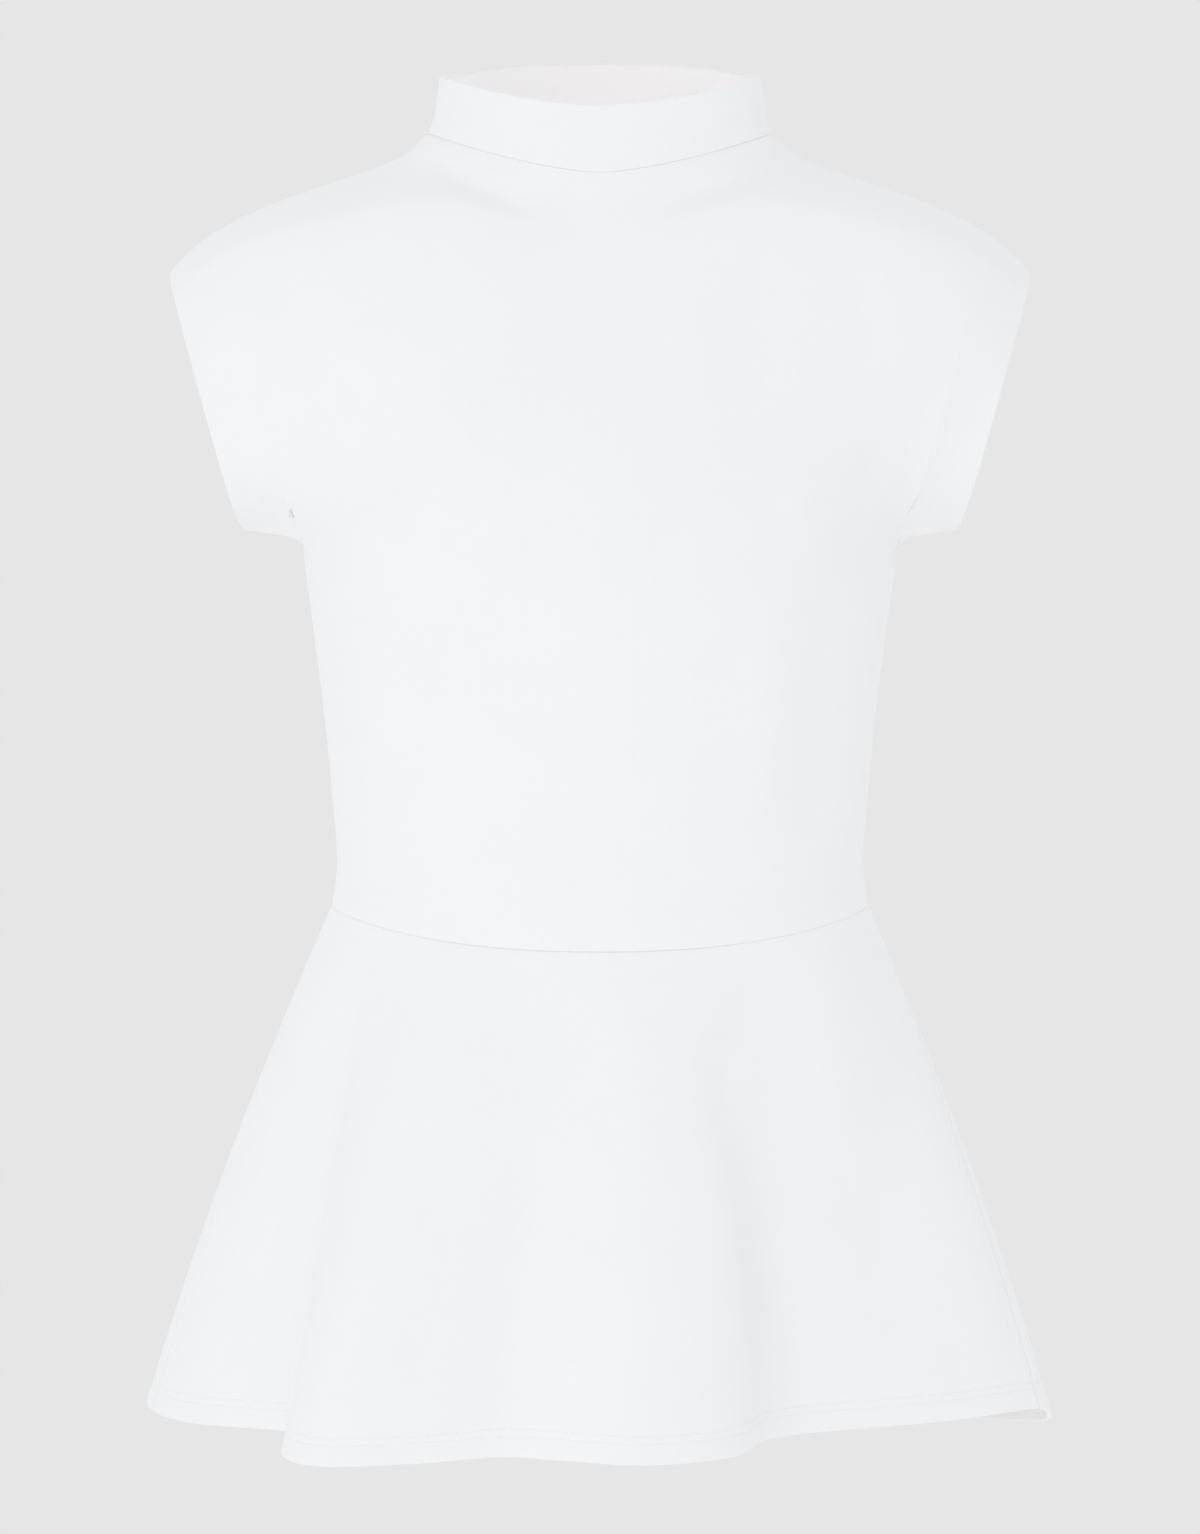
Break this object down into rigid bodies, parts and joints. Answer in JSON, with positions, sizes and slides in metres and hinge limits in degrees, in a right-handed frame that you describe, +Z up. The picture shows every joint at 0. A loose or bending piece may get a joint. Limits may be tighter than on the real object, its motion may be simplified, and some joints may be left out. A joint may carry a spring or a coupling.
{
  "type": "peplum top",
  "caption": "Sleeveless peplum top with a stand collar, wide cap shoulders and a flared, fluted peplum, in its worn, hollow form.",
  "frame": {"origin": "middle of the neck opening, level with the side neck points, where the wearer's neck and shoulders hold the top up", "axes": "+Z up, front faces -Y, +X to the viewer's right"},
  "size_m": [0.4502, 0.3597, 0.6781],
  "materials": {
    "body_cloth": "matt, smooth heavy stretch jersey",
    "collar_cloth": "matt, smooth heavy stretch jersey, double"
  },
  "bodies": {
    "root": {"collar": "collar_cloth", "bodice_front": "body_cloth", "bodice_back": "body_cloth", "peplum_front": "body_cloth", "peplum_back": "body_cloth"}
  },
  "joints": []
}
